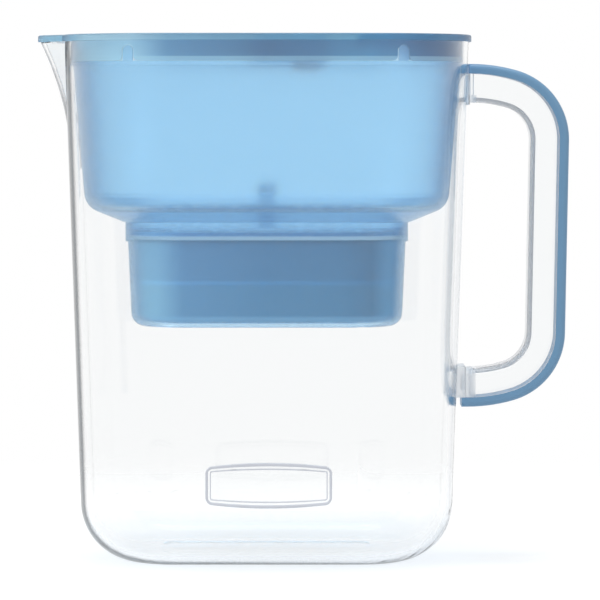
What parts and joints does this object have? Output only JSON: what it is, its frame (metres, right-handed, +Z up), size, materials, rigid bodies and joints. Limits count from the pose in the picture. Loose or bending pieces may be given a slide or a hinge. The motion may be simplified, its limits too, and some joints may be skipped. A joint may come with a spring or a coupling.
{
  "type": "water filter pitcher",
  "caption": "Clear jug with a spout and a D handle, a lift-out hopper and filter cartridge, and a lid with a spout flap, a fill flap and a filter timer.",
  "frame": {"origin": "middle of the jug's foot, on the surface that it stands on", "axes": "+X to the handle, -X to the spout, -Y to the front face, +Z up"},
  "size_m": [0.2566, 0.1334, 0.2544],
  "materials": {
    "jug_clear": "clear polished moulding",
    "handle_clear": "clear polished moulding",
    "grip_blue": "satin moulding",
    "hopper_blue": "tinted translucent moulding",
    "lid_blue": "satin moulding",
    "cartridge_blue": "tinted translucent moulding",
    "gasket": "soft silicone",
    "fleece": "pressed fleece",
    "resin": "fine round beads",
    "carbon": "loose granules",
    "timer_white": "fine matt",
    "timer_clear": "clear polished",
    "board": "lacquered",
    "display": "polished",
    "button": "soft matt",
    "cell": "plated"
  },
  "bodies": {
    "jug": {"jug_body": "jug_clear", "handle_frame": "handle_clear", "handle_grip": "grip_blue"},
    "hopper_body": {"hopper": "hopper_blue"},
    "cartridge": {"filter_cup": "cartridge_blue", "filter_cap": "cartridge_blue", "filter_gasket": "gasket", "outlet_fleece": "fleece", "resin_bed": "resin", "middle_fleece": "fleece", "carbon_bed": "carbon", "inlet_fleece": "fleece"},
    "lid_body": {"lid": "lid_blue", "timer_case": "timer_white", "timer_window": "timer_clear", "timer_board": "board", "timer_display": "display", "timer_cell": "cell", "timer_door": "timer_white"},
    "spout_cover": {"spout_flap": "lid_blue"},
    "fill_cover": {"fill_flap": "lid_blue"},
    "button": {"timer_button": "button"}
  },
  "joints": [
    {"name": "hopper_lift", "type": "slide", "parent": "jug", "child": "hopper_body", "axis": [0, 0, 1], "range_m": [0, 0.14]},
    {"name": "lid_lift", "type": "slide", "parent": "hopper_body", "child": "lid_body", "axis": [0, 0, 1], "range_m": [0, 0.04]},
    {"name": "cartridge_lift", "type": "slide", "parent": "hopper_body", "child": "cartridge", "axis": [0, 0, 1], "range_m": [0, 0.05]},
    {"name": "spout_flap_hinge", "type": "hinge", "parent": "lid_body", "child": "spout_cover", "pos_m": [-0.087, 0, 0.2513], "axis": [0, 1, 0], "range_deg": [0, 75]},
    {"name": "fill_flap_hinge", "type": "hinge", "parent": "lid_body", "child": "fill_cover", "pos_m": [0.046, 0, 0.2513], "axis": [0, -1, 0], "range_deg": [0, 90]},
    {"name": "button_press", "type": "slide", "parent": "lid_body", "child": "button", "axis": [0, 0, -1], "range_m": [0, 0.0008], "stiffness_N_per_m": 300}
  ]
}
